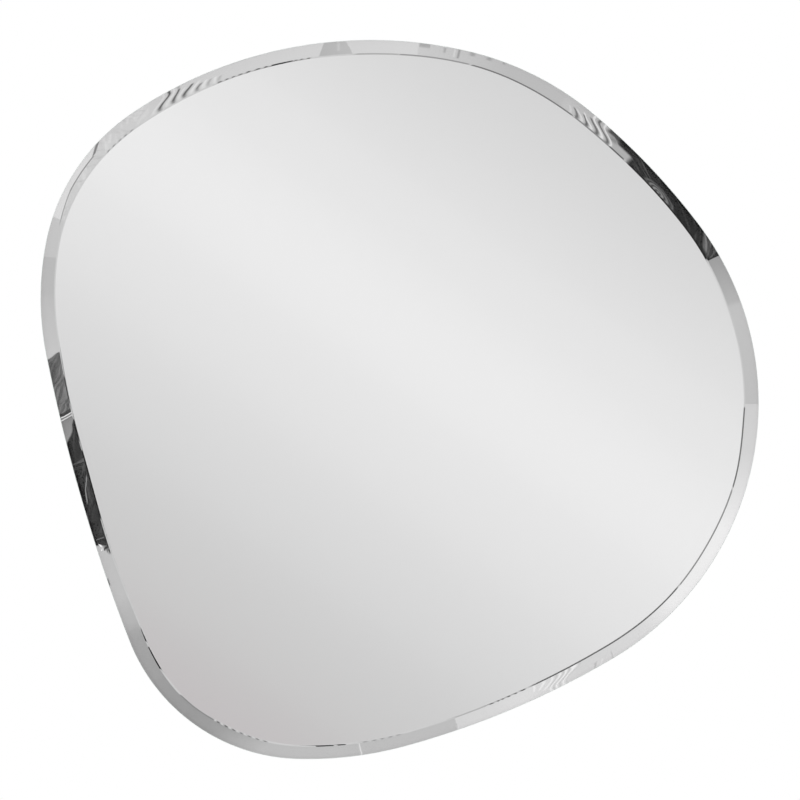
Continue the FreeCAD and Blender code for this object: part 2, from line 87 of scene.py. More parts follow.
def closeArcs(spec):
    rows = [list(row) for row in spec["arcs"]]  # two unknown radii make the loop close
    rows[-1][1] = 360.0 - sum(row[1] for row in rows[:-1])
    ends = [math.radians(spec["startDirection"])]
    for row in rows:
        ends.append(ends[-1] + math.radians(row[1]))
    chords = [compass(last) - compass(first) for first, last in zip(ends, ends[1:])]
    one, two = [k for k, row in enumerate(rows) if row[0] is None]
    gap = Vector((0.0, 0.0))
    for row, chord in zip(rows, chords):
        if row[0] is not None:
            gap -= chord * row[0]
    both = chords[one].cross(chords[two])
    rows[one][0] = gap.cross(chords[two]) / both
    rows[two][0] = chords[one].cross(gap) / both
    arcs = []
    centre = Vector((0.0, 0.0))
    for k, row in enumerate(rows):
        if k:
            centre = centre + compass(ends[k]) * (rows[k - 1][0] - row[0])
        arcs.append({"centre": centre.copy(), "radius": row[0], "first": ends[k], "last": ends[k + 1]})
    right, top, left, low = [onArcs(arcs, math.radians(side)) for side in (0, 90, 180, 270)]
    middle = Vector((left.x + right.x, low.y + top.y)) / 2
    for arc in arcs:
        arc["centre"] = (arc["centre"] - middle) * mm
        arc["radius"] = arc["radius"] * mm
    return arcs


def walkOutline(arcs, steps):
    total = sum(arc["radius"] * (arc["last"] - arc["first"]) for arc in arcs)
    stations = []
    k = 0
    done = 0.0
    for step in range(steps):
        length = total * step / steps
        while length > done + arcs[k]["radius"] * (arcs[k]["last"] - arcs[k]["first"]):
            done += arcs[k]["radius"] * (arcs[k]["last"] - arcs[k]["first"])
            k += 1
        angle = arcs[k]["first"] + (length - done) / arcs[k]["radius"]
        normal = compass(angle)
        spot = arcs[k]["centre"] + normal * arcs[k]["radius"]
        rim = math.degrees(math.atan2(spot.y, spot.x)) % 360
        stations.append({"spot": spot, "normal": normal, "length": length / total, "rim": rim})
    return stations, total


arcs = closeArcs(outline)
stations, perimeter = walkOutline(arcs, outline["steps"])
print("outline closed, %.3f m round" % perimeter)


# the glass pane with its ground and polished bevel
pane = {
    "slope": 0.205,  # of the bevel, as the wheel is set
    "crown": 0.15,  # how much the polished bevel is rounded across its width
    "glassIndex": 1.52,
    "arrisWidth": 1.3 * mm,  # soft line where the bevel meets the flat face
    "arrisStrips": 6,
    "bevelStrips": 12,
    "margin": 3.0 * mm,  # flat strip inside the bevel that keeps the face's shading true
    "edgeRound": 0.4 * mm,
    "edgeStrips": 4,
    "backArris": 0.4 * mm,
    "sharpStep": 0.05 * mm,  # keeps the shading of an edge to the edge
    "silverStart": 0.8 * mm,  # from the rim to where the back reflects
    "silverGap": 0.02 * mm,  # between the pane's back and the silver's solid
    "wobble": [  # polished bevel's unevenness: waves round the pane, turn in degrees and phase
        (37, 0.07, 0.4),
        (71, 0.05, 2.1),
        (123, 0.03, 4.4),
    ],
    "widths": [  # bevel's width in mm by the angle round the rim
        (0, 15.0), (14, 15.2), (33, 13.7), (60, 15.5), (79, 13.6), (97, 14.9), (115, 14.4),
        (135, 15.2), (152, 13.8), (170, 15.5), (181, 14.0), (192, 14.8), (207, 13.8), (222, 16.5),
        (235, 14.6), (242, 15.8), (255, 13.9), (275, 13.7), (310, 14.8), (325, 13.9), (335, 14.4),
        (345, 13.9), (356, 15.6),
    ],
}


polishedFinish, silveredFinish, groundFinish = range(3)  # the pane's material slots


def easeRound(pairs, angle):
    again = [(pairs[0][0] + 360, pairs[0][1])]
    for (first, low), (last, high) in zip(pairs, pairs[1:] + again):
        if first <= angle < last or first <= angle + 360 < last:
            part = ((angle - first) % 360) / (last - first)
            return low + (high - low) * (0.5 - 0.5 * math.cos(math.pi * part))


# rows across the bevel: distance out from its inner line, depth below the face, and how far its
# surface leans outward
def bevelProfile(width):
    start = 1.0 - pane["crown"]
    soft = pane["arrisWidth"]
    rows = []
    for k in range(pane["arrisStrips"] + 1):
        part = k / pane["arrisStrips"]
        slope = pane["slope"] * start * part
        rows.append((soft * (part - 0.5), slope * soft * part / 2, math.atan(slope)))
    low = rows[-1][1]
    run = width - soft / 2 - pane["edgeRound"]
    for k in range(1, pane["bevelStrips"] + 1):
        part = k / pane["bevelStrips"]
        depth = low + pane["slope"] * run * (start * part + pane["crown"] * part * part)
        slope = pane["slope"] * (start + 2 * pane["crown"] * part)
        rows.append((soft / 2 + run * part, depth, math.atan(slope)))
    return rows


# rows across the whole pane at one station, from the face round the rim to the back:
# distance in from the rim, place in depth, and the way the surface faces (0 front, 180 back)
def paneRows(width):
    front = paneLow.y
    back = paneHigh.y - pane["silverGap"]
    rows = [(width + pane["margin"] + pane["arrisWidth"] / 2, front, 0.0)]
    for out, depth, lean in bevelProfile(width):
        rows.append((width - out, front + depth, lean))
    inset, shoulder, lean = rows[-1]
    for k in range(1, pane["edgeStrips"] + 1):  # round over to the rim
        turn = lean + (math.pi / 2 - lean) * k / pane["edgeStrips"]
        outward = (math.sin(turn) - math.sin(lean)) / (1 - math.sin(lean))
        down = (math.cos(lean) - math.cos(turn)) * pane["edgeRound"]
        rows.append((inset * (1 - outward), shoulder + down, turn))
    step = pane["sharpStep"]
    arris = pane["backArris"]
    rim, slant, rear = [math.radians(facing) for facing in (90, 135, 180)]
    rows.append((0.0, back - arris - step, rim))
    rows.append((0.0, back - arris, (rim + slant) / 2))
    rows.append((step, back - arris + step, slant))
    rows.append((arris - step, back - step, slant))
    rows.append((arris, back, (slant + rear) / 2))
    rows.append((arris + step, back, rear))
    rows.append((pane["silverStart"], back, rear))
    return rows


def buildPane():
    spots = []
    facings = []
    for station in stations:
        rows = paneRows(easeRound(pane["widths"], station["rim"]) * mm)
        wobble = sum(turn * math.sin(2 * math.pi * count * station["length"] + phase)
                     for count, turn, phase in pane["wobble"])
        aside = station["normal"].orthogonal() * math.radians(wobble)
        for inset, depth, facing in rows:
            spot = station["spot"] - station["normal"] * inset
            spots.append((spot.x, depth, spot.y))
            outward = station["normal"] + aside
            facings.append((outward.x * math.sin(facing), -math.cos(facing), outward.y * math.sin(facing)))
    count = len(stations)
    deep = len(rows)
    polished = pane["arrisStrips"] + pane["bevelStrips"] + 1  # strips from the face to the rim
    flat = 2  # strips of the back, inside its arris
    ground = deep - 1 - polished - flat
    across = [polishedFinish] * polished + [groundFinish] * ground + [polishedFinish] * flat
    finishes = [polishedFinish] + across * count + [silveredFinish]
    faces = [[k * deep for k in range(count)]]
    for k in range(count):
        here = k * deep
        after = (k + 1) % count * deep
        for j in range(deep - 1):
            faces.append([here + j, here + j + 1, after + j + 1, after + j])
    faces.append([k * deep + deep - 1 for k in reversed(range(count))])
    mesh = bpy.data.meshes.new("bevelledPane")
    mesh.from_pydata(spots, [], faces)
    mesh.polygons.foreach_set("use_smooth", [True] * len(faces))
    mesh.polygons.foreach_set("material_index", finishes)
    mesh.normals_split_custom_set_from_vertices(facings)
    mesh.update()
    made = bpy.data.objects.new("bevelledPane", mesh)
    bpy.context.scene.collection.objects.link(made)
    return made


glassPiece = buildPane()
print("pane built,", len(glassPiece.data.polygons), "faces")


# small helpers for node trees
def feed(tree, socket, value):
    if isinstance(value, bpy.types.NodeSocket):
        tree.links.new(value, socket)
    else:
        socket.default_value = value


def addNode(tree, kind, inputs=None, **settings):
    node = tree.nodes.new("ShaderNode" + kind)
    for name, value in settings.items():
        setattr(node, name, value)
    for name, value in (inputs or {}).items():
        feed(tree, node.inputs[name], value)
    return node


def maths(tree, operation, *values, clamp=False):
    node = addNode(tree, "Math", operation=operation, use_clamp=clamp)
    for socket, value in zip(node.inputs, values):
        feed(tree, socket, value)
    return node.outputs[0]


def times(tree, first, second):
    return maths(tree, "MULTIPLY", first, second)


def minus(tree, first, second):
    return maths(tree, "SUBTRACT", first, second)


def timesPlus(tree, first, second, more):
    return maths(tree, "MULTIPLY_ADD", first, second, more)


def blendValue(tree, part, first, second):
    return timesPlus(tree, part, minus(tree, second, first), first)


def ease(tree, value, low, high, first=0.0, last=1.0):
    span = {"Value": value, "From Min": low, "From Max": high, "To Min": first, "To Max": last}
    return addNode(tree, "MapRange", span, interpolation_type="SMOOTHSTEP").outputs["Result"]


def mixColour(tree, part, first, second, mode="MIX"):
    node = addNode(tree, "Mix", data_type="RGBA", blend_type=mode)
    feed(tree, node.inputs["Factor"], part)
    feed(tree, node.inputs[6], first)  # 6 and 7 take its colours, and 2 gives one
    feed(tree, node.inputs[7], second)
    return node.outputs[2]


def newGroup(name, inputs, outputs):
    tree = bpy.data.node_groups.new(name, "ShaderNodeTree")
    for label, value in inputs.items():
        kind = "Float" if isinstance(value, float) else "Color" if len(value) == 4 else "Vector"
        socket = tree.interface.new_socket(label, in_out="INPUT", socket_type="NodeSocket" + kind)
        if kind != "Vector":
            socket.default_value = value
    for label, kind in outputs.items():
        tree.interface.new_socket(label, in_out="OUTPUT", socket_type="NodeSocket" + kind)
    given = tree.nodes.new("NodeGroupInput").outputs
    made = tree.nodes.new("NodeGroupOutput").inputs
    return tree, given, made


def useGroup(tree, group, inputs):
    node = tree.nodes.new("ShaderNodeGroup")
    node.node_tree = group
    for name, value in inputs.items():
        feed(tree, node.inputs[name], value)
    return node.outputs


# where a direction in front of the mirror lies: turn round the view line and distance from it
def makeFrontDirection():
    tree, given, made = newGroup("frontDirection", {"Direction": (0.0, 0.0, 0.0), "Cut": 0.0}, {
        "Turn": "Float", "Radius": "Float", "Across": "Float", "Up": "Float"})
    split = addNode(tree, "SeparateXYZ", {"Vector": given["Direction"]}).outputs
    sideways = 0.02  # least share of the direction that counts as forward
    forward = maths(tree, "MAXIMUM", times(tree, split["Y"], -1.0), sideways)
    across = maths(tree, "DIVIDE", split["X"], forward)
    up = maths(tree, "DIVIDE", split["Z"], forward)
    degrees = times(tree, maths(tree, "ARCTAN2", up, across), math.degrees(1.0))
    squares = timesPlus(tree, across, across, times(tree, up, up))
    feed(tree, made["Turn"], maths(tree, "FLOORED_MODULO", minus(tree, degrees, given["Cut"]), 360.0))
    feed(tree, made["Radius"], maths(tree, "SQRT", squares))
    feed(tree, made["Across"], across)
    feed(tree, made["Up"], up)
    return tree


# one card of the studio, from its leaning start edge on
def makeCard():
    tree, given, made = newGroup("studioCard", {
        "Below": 0.0, "Turn": 0.0, "Reach": 0.0, "Start": 0.0, "Lean": 0.0, "Soft": 0.1, "Width": 10.0,
        "First": 0.5, "Last": 0.5}, {"Tone": "Float"})
    edge = timesPlus(tree, given["Lean"], given["Reach"], given["Start"])
    past = minus(tree, given["Turn"], edge)
    mask = ease(tree, past, times(tree, given["Soft"], -1.0), given["Soft"])
    part = maths(tree, "DIVIDE", past, given["Width"], clamp=True)
    tone = blendValue(tree, part, given["First"], given["Last"])
    feed(tree, made["Tone"], blendValue(tree, mask, given["Below"], tone))
    return tree


# place inside a patch between two leaning edges: 0 to 1 along it, and its mask
def makePatch():
    tree, given, made = newGroup("studioPatch", {
        "Turn": 0.0, "Reach": 0.0, "Start": 0.0, "StartLean": 0.0, "End": 0.0, "EndLean": 0.0,
        "Soft": 0.05, "Inner": -2.0, "Outer": 2.0, "ReachSoft": 0.1}, {"Along": "Float", "Mask": "Float"})
    first = timesPlus(tree, given["StartLean"], given["Reach"], given["Start"])
    last = timesPlus(tree, given["EndLean"], given["Reach"], given["End"])
    along = maths(tree, "DIVIDE", minus(tree, given["Turn"], first), minus(tree, last, first))
    rise = ease(tree, along, 0.0, given["Soft"])
    fall = ease(tree, minus(tree, 1.0, along), 0.0, given["Soft"])
    inner = ease(tree, minus(tree, given["Reach"], given["Inner"]), 0.0, given["ReachSoft"])
    outer = ease(tree, minus(tree, given["Outer"], given["Reach"]), 0.0, given["ReachSoft"])
    feed(tree, made["Along"], along)
    feed(tree, made["Mask"], times(tree, times(tree, rise, fall), times(tree, inner, outer)))
    return tree


# a row of dots in a patch
def makeDots():
    tree, given, made = newGroup("studioDots", {
        "Below": 0.0, "Along": 0.0, "Mask": 0.0, "Count": 4.0, "Share": 0.5, "Sharp": 0.2,
        "Light": 1.0, "Dark": 0.1}, {"Tone": "Float"})
    phase = maths(tree, "FRACT", times(tree, given["Along"], given["Count"]))
    middle = maths(tree, "ABSOLUTE", minus(tree, phase, 0.5))
    half = times(tree, given["Share"], 0.5)
    end = maths(tree, "ADD", half, given["Sharp"])
    wave = ease(tree, middle, end, minus(tree, half, given["Sharp"]))
    tone = blendValue(tree, wave, given["Light"], given["Dark"])
    feed(tree, made["Tone"], blendValue(tree, given["Mask"], given["Below"], tone))
    return tree


folds = {"acrossScale": 0.45, "detail": 3.0, "roughness": 0.6}


# folds and glints in a patch
def makeFolds():
    tree, given, made = newGroup("studioFolds", {
        "Below": 0.0, "Along": 0.0, "Reach": 0.0, "Mask": 0.0, "Count": 6.0, "Drift": 0.2, "Seed": 0.0,
        "Light": 0.1, "Low": 0.5, "High": 0.7}, {"Tone": "Float"})
    slide = timesPlus(tree, given["Reach"], given["Drift"], given["Along"])
    place = addNode(tree, "CombineXYZ", {
        "X": times(tree, slide, given["Count"]), "Y": times(tree, given["Reach"], folds["acrossScale"]),
        "Z": given["Seed"]}).outputs[0]
    noise = addNode(tree, "TexNoise", {
        "Vector": place, "Scale": 1.0, "Detail": folds["detail"], "Roughness": folds["roughness"]})
    glint = ease(tree, noise.outputs["Fac"], given["Low"], given["High"])
    amount = times(tree, glint, given["Mask"])
    feed(tree, made["Tone"], blendValue(tree, amount, given["Below"], given["Light"]))
    return tree


# between which shares of its size a swirl fades in, its rings' swing and level, and its fading
swirl = {"rimOut": 1.05, "rimIn": 0.8, "ringSwing": 0.4, "ringLevel": 0.5, "fading": -0.8}


# a ringed swirl in a dark patch, brightest in the middle
def makeSwirl():
    tree, given, made = newGroup("studioSwirl", {
        "Below": 0.0, "Turn": 0.0, "Reach": 0.0, "At": 0.0, "AtReach": 0.0, "Width": 1.0, "Height": 1.0,
        "Rings": 3.0, "Light": 0.1}, {"Tone": "Float"})
    along = maths(tree, "DIVIDE", minus(tree, given["Turn"], given["At"]), given["Width"])
    across = maths(tree, "DIVIDE", minus(tree, given["Reach"], given["AtReach"]), given["Height"])
    away = maths(tree, "SQRT", timesPlus(tree, along, along, times(tree, across, across)))
    inside = ease(tree, away, swirl["rimOut"], swirl["rimIn"])
    wave = maths(tree, "COSINE", times(tree, times(tree, away, given["Rings"]), 2 * math.pi))
    ringed = timesPlus(tree, wave, swirl["ringSwing"], swirl["ringLevel"])
    fading = timesPlus(tree, away, swirl["fading"], 1.0)
    amount = times(tree, times(tree, inside, ringed), fading)
    feed(tree, made["Tone"], blendValue(tree, amount, given["Below"], given["Light"]))
    return tree


# where the bevel throws the view, as a ray through glass, mirror and glass again
def bevelThrow(slope):
    lean = math.atan(slope)
    bent = math.asin(math.sin(lean) / pane["glassIndex"])
    inside = 2 * lean - bent
    out = math.asin(pane["glassIndex"] * math.sin(inside))
    return math.tan(out - lean)


def rimStation(rim):
    rim = rim % 360
    for here, after in zip(stations, stations[1:] + stations[:1]):
        span = (after["rim"] - here["rim"]) % 360
        past = (rim - here["rim"]) % 360
        if past < span:
            part = past / span
            return here["spot"].lerp(after["spot"], part), here["normal"].lerp(after["normal"], part)


def studioDirection(rim, reach):
    spot, normal = rimStation(rim)
    throw = bevelThrow(pane["slope"] * (1 + pane["crown"] * reach))
    inset = (1 - reach) / 2 * easeRound(pane["widths"], rim % 360) * mm
    return (spot - normal * inset) / eyeDistance - normal * throw


def studioTurn(rim, reach):
    seen = studioDirection(rim, reach)
    return (math.degrees(math.atan2(seen.y, seen.x)) - studio["cut"]) % 360


def leaningEdge(place):
    inner, outer = place if isinstance(place, tuple) else (place, place)
    first, last = studioTurn(inner, -1.0), studioTurn(outer, 1.0)
    return (first + last) / 2, (last - first) / 2


# what stands round the camera, by where the bevel shows it: angles round the rim from the right,
# counter-clockwise, one number or a pair (inner edge of the bevel, outer edge); tones are 0 to 255
studio = {
    "returned": 0.94,  # share of the light that the silvered glass sends back
    "flatEdge": 0.016,  # radius of the backdrop; a radius is the tangent of the angle to the view line
    "ringGap": 0.008,  # how far the ring of cards goes on inside and outside what the bevel sees
    "ringEdge": 0.03,
    "edgeFade": 1.2,  # where an edge has faded out, as a share of its radius
    "sectors": [0.4, 66, 110, 165, 213, 290],  # the ring of cards is made in these parts
    "cards": [  # where it starts, tone there and at its end, and softness of its first edge
        (0.4, 192, 195, 0.04), (13.4, 196, 194, 0.1), (16.0, 183, 158, 0.6),
        ((24.45, 24.3), 24, 10, 0.04), (33, 8, 22, 1.0), ((46.3, 52.3), 182, 196, 0.04),
        (61, 190, 190, 1.0), (72, 190, 206, 1.0), (86.9, 217, 214, 0.15), ((97.5, 98.6), 191, 184, 0.04),
        ((103.1, 102.0), 214, 207, 0.04), (130, 208, 208, 0.8), (152.2, 200, 198, 0.1),
        (158.1, 187, 187, 0.15), (164, 190, 199, 0.6), ((172.8, 174.1), 72, 86, 0.04),
        (181, 58, 52, 0.15), ((184.0, 184.4), 128, 146, 0.04), ((185.0, 187.6), 20, 8, 0.04),
        (196, 10, 22, 0.3), ((207.5, 206.5), 192, 192, 0.04), (215.8, 191, 166, 0.2),
        (221.2, 162, 157, 0.3), (229, 154, 150, 1.0), (236.5, 151, 156, 1.5),
        ((242.2, 240), 157, 186, 1.0), ((249.5, 248), 187, 190, 1.0), (262, 188, 190, 1.0),
        ((280.7, 280.4), 213, 222, 0.04), (293, 222, 212, 1.5), (304, 213, 220, 1.0),
        (317, 220, 238, 1.0), (323, 239, 241, 1.0), (338.5, 240, 215, 1.5), (350.5, 214, 208, 1.0),
    ],
    "folds": [
        {"from": (24.45, 24.3), "to": (26.5, 29.5), "count": 5, "drift": -0.12, "seed": 1.7, "light": 128,
         "low": 0.3, "high": 0.7, "inner": -0.9, "reachSoft": 0.6, "soft": 0.2},
        {"from": (24.45, 24.3), "to": (46.3, 52.3), "count": 14, "drift": -0.08, "seed": 6.1, "light": 92,
         "low": 0.52, "high": 0.8},
        {"from": (40, 42), "to": (46.3, 52.3), "count": 7, "drift": -0.2, "seed": 4.3, "light": 105,
         "low": 0.45, "high": 0.72, "soft": 0.25},
        {"from": 129, "to": 152.2, "count": 26, "drift": 0.04, "seed": 5.2, "light": 222,
         "low": 0.46, "high": 0.74},
        {"from": 131, "to": 152.2, "count": 30, "drift": -0.05, "seed": 8.3, "light": 192,
         "low": 0.50, "high": 0.76},
        {"from": (172.8, 174.1), "to": (181.6, 182.6), "count": 8, "drift": -0.08, "seed": 3.2,
         "light": 142, "low": 0.36, "high": 0.78},
        {"from": (185.0, 187.6), "to": (207.5, 206.5), "count": 7, "drift": -0.16, "seed": 9.4,
         "light": 120, "low": 0.52, "high": 0.8},
        {"from": (185.0, 187.6), "to": (207.5, 206.5), "count": 30, "drift": -0.10, "seed": 2.9,
         "light": 70, "low": 0.48, "high": 0.78},
    ],
    "swirls": [
        {"at": 38.7, "reach": -0.85, "width": 3.9, "height": 0.85, "rings": 3.4, "light": 165},
    ],
    "patches": [
        {"from": 45.6, "to": 51.5, "tone": 176, "outer": 0.16, "reachSoft": 0.4, "soft": 0.2},
        {"from": 49.0, "to": (53.8, 52.6), "tone": 78, "inner": 0.1, "reachSoft": 0.5, "soft": 0.25},
        {"from": 48.6, "to": 52.4, "tone": 142, "inner": -0.5, "outer": 0.55, "reachSoft": 0.45,
         "soft": 0.4},
        {"from": (142.4, 140.2), "to": 152.2, "tone": 223, "inner": 0.05, "reachSoft": 0.06, "soft": 0.02},
        {"from": (157.8, 138.0), "to": 152.2, "tone": 223, "inner": -0.42, "outer": 0.08, "reachSoft": 0.05,
         "soft": 0.02},
        {"from": (143.0, 138.9), "to": (144.1, 140.0), "tone": 132, "inner": 0.02, "reachSoft": 0.1,
         "soft": 0.3},
        {"from": 141.3, "to": 148.0, "tone": 144, "inner": -0.14, "outer": 0.13, "reachSoft": 0.1,
         "soft": 0.05},
        {"from": (157.2, 135.9), "to": (159.8, 138.5), "tone": 142, "inner": -0.52, "outer": 0.06,
         "reachSoft": 0.06, "soft": 0.4},
        {"from": (182.5, 183.4), "to": (184.0, 184.6), "tone": 140, "soft": 0.1},
        {"from": (207.9, 205.7), "to": (208.4, 206.3), "tone": 252, "inner": -0.1, "outer": 0.6,
         "reachSoft": 0.3, "soft": 0.3},
        {"from": 211.2, "to": 212.6, "tone": 120, "inner": 0.65, "soft": 0.2},
        {"from": 84.9, "to": 86.8, "tone": 176, "inner": 0.1, "reachSoft": 0.4, "soft": 0.05},
    ],
    "bendFrom": -0.85,  # where across the bevel the stripes lean, from here to there
    "bendTo": 0.6,
    "taper": 0.65,  # width of a stripe at the rim, as a share of its width at the inner line
    # inner angle, outer angle, width, tone, and from where to where across the bevel
    "stripes": [  # these bend like an S across the bevel
        (51.2, 54.2, 1.4, 104, -2, 2), (53.45, 55.8, 1.4, 102, -2, 0.9),
        (55.5, 57.6, 1.35, 100, -2, 0.4), (57.7, 59.6, 1.2, 112, -2, 0.35),
        (50.2, 53.1, 1.2, 224, -2, 2), (52.4, 55.2, 1.3, 230, -2, 2), (54.6, 57.3, 1.3, 224, -2, 0.9),
        (56.7, 59.3, 1.2, 218, -2, 0.4), (59.1, 60.7, 1.0, 210, -2, 0.1),
        (119.3, 117.8, 1.0, 186, -1.15, -0.1), (121.2, 119.4, 1.1, 176, -1.15, 0.1),
        (123.0, 120.9, 1.1, 130, -1.15, 0.1), (125.0, 123.0, 1.35, 88, -1.15, 0.95),
        (127.0, 125.1, 1.3, 88, -1.15, 1.1), (129.4, 126.85, 1.4, 84, -1.15, 2),
        (120.0, 118.9, 1.0, 226, -1.15, 0.1), (122.0, 120.6, 1.1, 228, -1.15, 0.4),
        (123.9, 121.9, 1.1, 228, -1.15, 0.9), (126.0, 124.1, 1.0, 222, -1.15, 0.9),
        (128.1, 126.0, 1.1, 224, -1.15, 2), (130.5, 127.8, 0.9, 222, -1.15, 2),
        (295.1, 294.2, 1.0, 238, -2, 0.2), (296.8, 295.2, 1.0, 238, -2, 0.5),
        (298.5, 296.3, 1.1, 238, -2, 0.95), (300.2, 297.3, 1.1, 240, -2, 2),
        (301.8, 298.5, 1.1, 242, -2, 2), (303.3, 299.9, 1.1, 240, -2, 2),
        (299.4, 296.9, 0.8, 202, -2, 0.9), (301.0, 297.9, 0.8, 200, -2, 2),
        (302.5, 299.2, 0.8, 200, -2, 2), (304.1, 300.7, 0.8, 204, -2, 2),
    ],
    "lines": [
        (72.8, 72.8, 0.9, 168, 0.45, 2), (75.3, 75.2, 1.4, 166, 0.25, 2), (78.1, 78.0, 1.5, 168, 0.2, 2),
        (80.3, 80.2, 0.8, 158, -0.7, 2), (81.1, 81.0, 0.6, 214, -0.6, 2),
        (82.8, 82.7, 0.8, 174, -0.2, 0.9), (99.6, 99.6, 0.8, 200, -0.6, 2),
        (182.6, 183.6, 0.45, 255, -2, 2), (183.4, 184.5, 0.4, 250, -2, 2),
        (193.4, 199.8, 0.9, 150, -0.85, 0.45), (190.6, 190.9, 0.35, 88, -2, 2),
        (191.4, 191.7, 0.35, 78, -2, 2), (205.0, 205.2, 0.4, 112, -0.9, 0.8),
        (263.75, 264.0, 0.45, 222, -2, 2), (307.8, 305.9, 0.5, 186, 0.0, 2),
        (310.0, 309.4, 0.6, 192, -0.2, 2), (309.2, 307.0, 0.5, 228, 0.1, 2),
    ],
    "lineSoft": 0.5,
    "arrisTone": 205,
    "arrisSoft": 0.03,
    "dotShare": 0.45,
    "dotSharp": 0.2,
    "arris": [  # dark places seen in the arris: from, to, tone, and count of dots where it is dotted
        (24.6, 46.8, 20, 0), (46.8, 50.4, 88, 0), (50.4, 58, 138, 0), (58, 78, 118, 0), (78, 90, 150, 0),
        (90, 97, 172, 0), (104.2, 107.2, 60, 3), (107.2, 110.8, 0, 0), (111, 115.2, 20, 3),
        (115.2, 119.9, 96, 4), (134, 140, 150, 5), (175.4, 177, 70, 0), (177, 179.3, 0, 0),
        (179.3, 180.6, 80, 0), (184.3, 187.3, 10, 0), (187.3, 188.7, 150, 3), (188.7, 201.5, 0, 0),
        (221.5, 222.9, 0, 0), (223.8, 227.9, 0, 0), (233, 240, 140, 0), (240, 244.2, 105, 3),
        (244.2, 249.5, 130, 4), (256.7, 259.7, 0, 0), (260.2, 261.6, 0, 0), (264, 271, 150, 5),
        (280.5, 286, 180, 0), (286, 293.8, 30, 6), (293.8, 326, 92, 0), (326, 345, 138, 0),
        (345, 358.9, 104, 0),
    ],
    "backdropLean": 35.0,  # degrees that the light band on the backdrop leans
    "backdropHalf": 0.42,  # m from the middle to where the backdrop's tones end
    "backdrop": [  # place across the band from -1 to 1, and tone
        (-0.95, (193, 189, 190)), (-0.76, (199, 198, 198)), (-0.5, 210), (-0.24, 222), (0.0, 231),
        (0.155, 235), (0.31, 231), (0.48, 225), (0.81, 212),
    ],
    "farDark": 0.20,  # tone in front of the mirror outside the cards
    "farFrom": 0.45,  # radii between which it fades into the room
    "farTo": 0.9,
    "behind": 0.34,  # the room behind the mirror, and the soft cards that stand there
    "behindCards": [  # from and to across, from and to in height, as shares of the direction
        {"left": -0.85, "right": -0.15, "low": 0.12, "high": 0.80, "tone": 1.25},
        {"left": 0.35, "right": 0.80, "low": -0.30, "high": 0.55, "tone": 0.85},
    ],
    "behindSoft": (0.12, 0.08),  # their soft edges across and in height
    "behindFrom": 0.05,  # how far a direction points backwards where that room starts, and is full
    "behindTo": 0.25,
    # tones of the room from straight below to straight above, and the light on what isn't a mirror
    "skyTones": [(0.0, 0.42), (0.40, 0.60), (0.49, 0.74), (0.53, 0.84), (0.75, 0.95), (1.0, 1.0)],
    "ambient": 0.45,
}
cutSeen = studioDirection(-0.7, 0.0)  # the ring of cards starts at its sharp step at the right
studio["cut"] = math.degrees(math.atan2(cutSeen.y, cutSeen.x))
around = range(0, 360, 10)
innerRadius = sum(studioDirection(rim, -1.0).length for rim in around) / len(around)
outerRadius = sum(studioDirection(rim, 1.0).length for rim in around) / len(around)
middleRadius = (innerRadius + outerRadius) / 2
halfRing = (outerRadius - innerRadius) / 2
print("bevel sees a ring from %.3f to %.3f" % (innerRadius, outerRadius))


# light that a card needs so that the mirror shows this screen tone
def glow(tone):
    part = tone / 255
    light = part / 12.92 if part <= 0.04045 else ((part + 0.055) / 1.055) ** 2.4
    return light / studio["returned"]


# what a patch has where its row doesn't say
plainPatch = {"soft": 0.02, "inner": -2.0, "outer": 2.0, "reachSoft": 0.25}


def patchOf(tree, groups, turn, reach, row):
    row = {**plainPatch, **row}
    start, startLean = leaningEdge(row["from"])
    end, endLean = leaningEdge(row["to"])
    return useGroup(tree, groups["patch"], {
        "Turn": turn, "Reach": reach, "Start": start, "StartLean": startLean, "End": end,
        "EndLean": endLean, "Soft": row["soft"], "Inner": row["inner"], "Outer": row["outer"],
        "ReachSoft": row["reachSoft"]})


def middleOf(place):
    return sum(place) / 2 if isinstance(place, tuple) else place


def placeCards():
    cards = []
    for at, first, last, soft in studio["cards"]:
        start, lean = leaningEdge(at)
        cards.append({"at": middleOf(at), "start": start, "lean": lean, "first": glow(first),
                      "last": glow(last), "soft": soft})
    cards[0]["start"] = 0.0
    return cards


